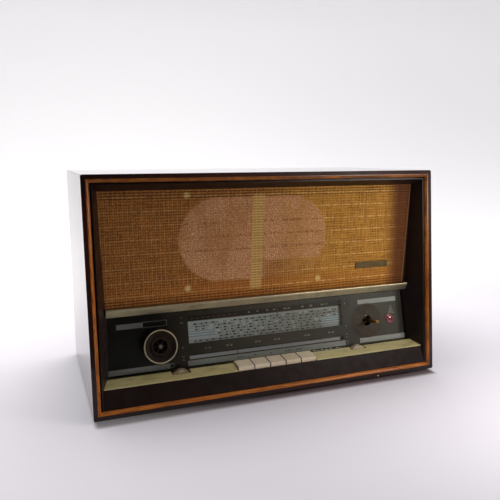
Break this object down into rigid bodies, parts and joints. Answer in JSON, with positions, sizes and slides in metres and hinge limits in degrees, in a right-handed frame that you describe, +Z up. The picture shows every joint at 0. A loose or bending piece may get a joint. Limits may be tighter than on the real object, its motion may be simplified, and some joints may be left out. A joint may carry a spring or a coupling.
{
  "type": "tube radio",
  "caption": "Table radio in a lacquered wooden cabinet: woven grille, leaning dial, volume knob, bare tuning shaft, tone wheels and push keys.",
  "frame": {"origin": "centre of the cabinet's footprint, on the plane that the feet stand on", "axes": "+X along the front to the right as seen from the front, +Y to the back, +Z up"},
  "size_m": [0.6, 0.328, 0.362],
  "materials": {
    "lacquered_wood": "gloss",
    "bead": "satin gold",
    "dark_satin": "satin",
    "plywood": "raw",
    "grille_cloth": "woven",
    "champagne": "satin lacquered",
    "badge_metal": "satin",
    "dial_glass": "clear",
    "backing": "matt light blue grey",
    "bright_strip": "brushed",
    "eye_glass": "clear",
    "red_lens": "clear red",
    "lamp": "clear",
    "plated_steel": "zinc plated",
    "steel_rod": "plain",
    "pointer_red": "painted",
    "brass": "worn",
    "drum_plastic": "moulded",
    "vane_metal": "plain",
    "can": "plain",
    "pertinax": "laminated",
    "knob_brown": "gloss",
    "knob_ring": "turned",
    "ivory": "aged ivory",
    "ledge_cream": "satin",
    "core_iron": "laminated",
    "ceramic": "plain",
    "tube_glass": "clear",
    "ferrite": "matt",
    "basket": "grey",
    "cone_paper": "pressed paper",
    "hardboard": "pressed",
    "rubber": "matt",
    "felt": "matt"
  },
  "bodies": {
    "radio": {"cabinet": "lacquered_wood", "inlay_bead": "bead", "front_surround": "dark_satin", "bottom_rail": "dark_satin", "baffle_board": "plywood", "grille_cloth": "grille_cloth", "grille_bar": "champagne", "badge_plate": "badge_metal", "dial_glass": "dial_glass", "scale_backing": "backing", "dial_strips": "bright_strip", "magic_eye": "eye_glass", "pilot_lens": "red_lens", "dial_lamps": "lamp", "dial_frame": "plated_steel", "pointer_rails": "steel_rod", "capacitor_frame": "plated_steel", "fm_tuner": "can", "volume_pot": "pertinax", "tone_pots": "pertinax", "ledge": "ledge_cream", "key_frame": "plated_steel", "key_rod": "steel_rod", "key_springs": "steel_rod", "chassis": "plated_steel", "chassis_bolts": "steel_rod", "power_transformer": "core_iron", "output_transformer": "core_iron", "filter_capacitor": "can", "tube_sockets": "ceramic", "signal_tubes": "tube_glass", "output_tube": "tube_glass", "if_cans": "can", "ferrite_antenna": "ferrite", "rear_sockets": "pertinax", "speaker_basket": "basket", "speaker_magnet": "basket", "speaker_bolts": "steel_rod", "back_cover": "hardboard", "back_screws": "steel_rod", "cord_grommet": "rubber", "feet": "felt"},
    "tuning_drive": {"tuning_shaft": "brass", "flywheel": "plated_steel"},
    "am_pointer": {"am_pointer": "pointer_red"},
    "fm_pointer": {"fm_pointer": "pointer_red"},
    "am_drum": {"am_drum": "drum_plastic"},
    "fm_drum": {"fm_drum": "drum_plastic"},
    "capacitor_rotor": {"capacitor_rotor": "vane_metal"},
    "volume_control": {"volume_shaft": "steel_rod", "volume_knob": "knob_brown", "knob_ring": "knob_ring"},
    "tone_wheel_left": {"tone_wheel_left": "ivory"},
    "tone_wheel_right": {"tone_wheel_right": "ivory"},
    "speaker_cone": {"speaker_cone": "cone_paper"},
    "key_1": {"key_1": "ivory"},
    "key_2": {"key_2": "ivory"},
    "key_3": {"key_3": "ivory"},
    "key_4": {"key_4": "ivory"},
    "key_5": {"key_5": "ivory"}
  },
  "joints": [
    {"name": "tuning_turn", "type": "hinge", "parent": "radio", "child": "tuning_drive", "pos_m": [0.1915, -0.11334, 0.09252], "axis": [0, 0.9823, -0.1874], "range_deg": [-873, 2563]},
    {"name": "am_pointer_slide", "type": "slide", "parent": "radio", "child": "am_pointer", "axis": [1, 0, 0], "range_m": [-0.061, 0.179]},
    {"name": "am_drum_turn", "type": "hinge", "parent": "radio", "child": "am_drum", "pos_m": [0.115, -0.11207, 0.0992], "axis": [0, 0.9823, -0.1874], "range_deg": [-137.25, 402.75]},
    {"name": "capacitor_turn", "type": "hinge", "parent": "radio", "child": "capacitor_rotor", "pos_m": [0.115, -0.11207, 0.0992], "axis": [0, 0.9823, -0.1874], "range_deg": [-45.75, 134.25]},
    {"name": "fm_drum_turn", "type": "hinge", "parent": "radio", "child": "fm_drum", "pos_m": [-0.115, -0.11207, 0.0992], "axis": [0, 0.9823, -0.1874], "range_deg": [-310.5, 229.4]},
    {"name": "fm_pointer_slide", "type": "slide", "parent": "radio", "child": "fm_pointer", "axis": [1, 0, 0], "range_m": [-0.138, 0.102]},
    {"name": "volume_turn", "type": "hinge", "parent": "radio", "child": "volume_control", "pos_m": [-0.1915, -0.11334, 0.09252], "axis": [0, 0.9823, -0.1874], "range_deg": [0, 280]},
    {"name": "tone_left_turn", "type": "hinge", "parent": "radio", "child": "tone_wheel_left", "pos_m": [-0.1607, -0.114, 0.0394], "axis": [0, 1, 0], "range_deg": [-135, 135]},
    {"name": "tone_right_turn", "type": "hinge", "parent": "radio", "child": "tone_wheel_right", "pos_m": [0.1607, -0.114, 0.0394], "axis": [0, 1, 0], "range_deg": [-135, 135]},
    {"name": "cone_slide", "type": "slide", "parent": "radio", "child": "speaker_cone", "axis": [0, 1, 0], "range_m": [-0.001, 0.001], "stiffness_N_per_m": 2500},
    {"name": "key_1_press", "type": "hinge", "parent": "radio", "child": "key_1", "pos_m": [-0.056, -0.052, 0.047], "axis": [1, 0, 0], "range_deg": [0, 3.2], "stiffness_Nm_per_rad": 2.5, "springref_deg": -2.86},
    {"name": "key_2_press", "type": "hinge", "parent": "radio", "child": "key_2", "pos_m": [-0.028, -0.052, 0.047], "axis": [1, 0, 0], "range_deg": [0, 3.2], "stiffness_Nm_per_rad": 2.5, "springref_deg": -2.86},
    {"name": "key_3_press", "type": "hinge", "parent": "radio", "child": "key_3", "pos_m": [0, -0.052, 0.047], "axis": [1, 0, 0], "range_deg": [0, 3.2], "stiffness_Nm_per_rad": 2.5, "springref_deg": -2.86},
    {"name": "key_4_press", "type": "hinge", "parent": "radio", "child": "key_4", "pos_m": [0.028, -0.052, 0.047], "axis": [1, 0, 0], "range_deg": [0, 3.2], "stiffness_Nm_per_rad": 2.5, "springref_deg": -2.86},
    {"name": "key_5_press", "type": "hinge", "parent": "radio", "child": "key_5", "pos_m": [0.056, -0.052, 0.047], "axis": [1, 0, 0], "range_deg": [0, 3.2], "stiffness_Nm_per_rad": 2.5, "springref_deg": -2.86}
  ],
  "couplings": [
    {"joint": "am_pointer_slide", "follows": "tuning_turn", "m_per_rad": 0.004},
    {"joint": "am_drum_turn", "follows": "tuning_turn", "ratio": 0.15708},
    {"joint": "capacitor_turn", "follows": "tuning_turn", "ratio": 0.05236},
    {"joint": "fm_pointer_slide", "follows": "fm_drum_turn", "m_per_rad": 0.025465}
  ]
}
